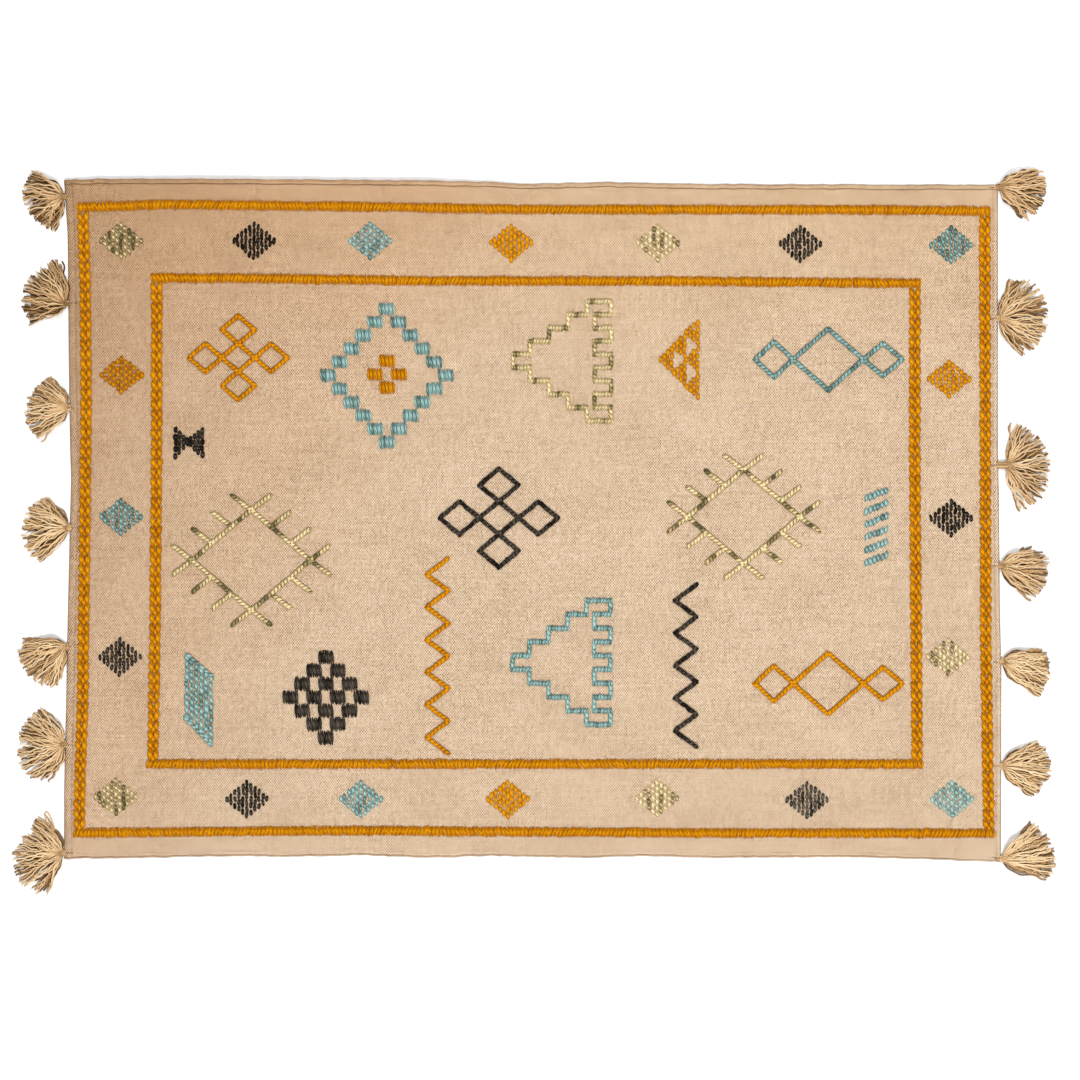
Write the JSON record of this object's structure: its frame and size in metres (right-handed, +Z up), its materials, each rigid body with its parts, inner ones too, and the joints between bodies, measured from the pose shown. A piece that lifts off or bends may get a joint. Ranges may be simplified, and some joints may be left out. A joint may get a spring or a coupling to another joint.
{
  "type": "embroidered cotton rug",
  "caption": "Flat-woven cotton rug with raised yarn embroidery in a double border and scattered geometric figures, and tassels along both short ends.",
  "frame": {"origin": "middle of the cloth's underside, on the floor", "axes": "+X along the rug, towards one tasselled end; +Y across it, towards the long edge that curls up a little; +Z up, out of the embroidered face"},
  "size_m": [1.8119, 1.2566, 0.0112],
  "materials": {
    "cotton_cloth": "matt, flat-woven melange cotton",
    "cotton_tassel": "soft, loosely twisted cotton yarn",
    "yarn_ochre": "matt, thick embroidery yarn",
    "yarn_teal": "matt, thick embroidery yarn",
    "yarn_black": "matt, thick embroidery yarn",
    "yarn_olive": "matt, variegated olive and cream embroidery yarn"
  },
  "bodies": {
    "root": {"ground_cloth": "cotton_cloth", "border_outer": "yarn_ochre", "border_inner": "yarn_ochre", "lozenge_top_1": "yarn_olive", "lozenge_top_2": "yarn_black", "lozenge_top_3": "yarn_teal", "lozenge_top_4": "yarn_ochre", "lozenge_top_5": "yarn_olive", "lozenge_top_6": "yarn_black", "lozenge_top_7": "yarn_teal", "lozenge_bottom_1": "yarn_olive", "lozenge_bottom_2": "yarn_black", "lozenge_bottom_3": "yarn_teal", "lozenge_bottom_4": "yarn_ochre", "lozenge_bottom_5": "yarn_olive", "lozenge_bottom_6": "yarn_black", "lozenge_bottom_7": "yarn_teal", "lozenge_left_1": "yarn_ochre", "lozenge_left_2": "yarn_teal", "lozenge_left_3": "yarn_black", "lozenge_right_1": "yarn_ochre", "lozenge_right_2": "yarn_black", "lozenge_right_3": "yarn_olive", "knot_ochre": "yarn_ochre", "knot_black": "yarn_black", "stepped_teal": "yarn_teal", "stepped_cross": "yarn_ochre", "checker_black": "yarn_black", "comb_olive": "yarn_olive", "comb_teal": "yarn_teal", "triangles_ochre": "yarn_ochre", "chain_teal": "yarn_teal", "chain_ochre": "yarn_ochre", "ticked_left": "yarn_olive", "ticked_right": "yarn_olive", "zigzag_ochre": "yarn_ochre", "zigzag_black": "yarn_black", "hourglass_black": "yarn_black", "slant_teal": "yarn_teal", "hatch_1": "yarn_teal", "hatch_2": "yarn_teal", "hatch_3": "yarn_teal", "hatch_4": "yarn_teal", "hatch_5": "yarn_teal", "hatch_6": "yarn_teal", "tassel_left_1": "cotton_tassel", "tassel_left_2": "cotton_tassel", "tassel_left_3": "cotton_tassel", "tassel_left_4": "cotton_tassel", "tassel_left_5": "cotton_tassel", "tassel_left_6": "cotton_tassel", "tassel_left_7": "cotton_tassel", "tassel_right_1": "cotton_tassel", "tassel_right_2": "cotton_tassel", "tassel_right_3": "cotton_tassel", "tassel_right_4": "cotton_tassel", "tassel_right_5": "cotton_tassel", "tassel_right_6": "cotton_tassel", "tassel_right_7": "cotton_tassel"}
  },
  "joints": []
}
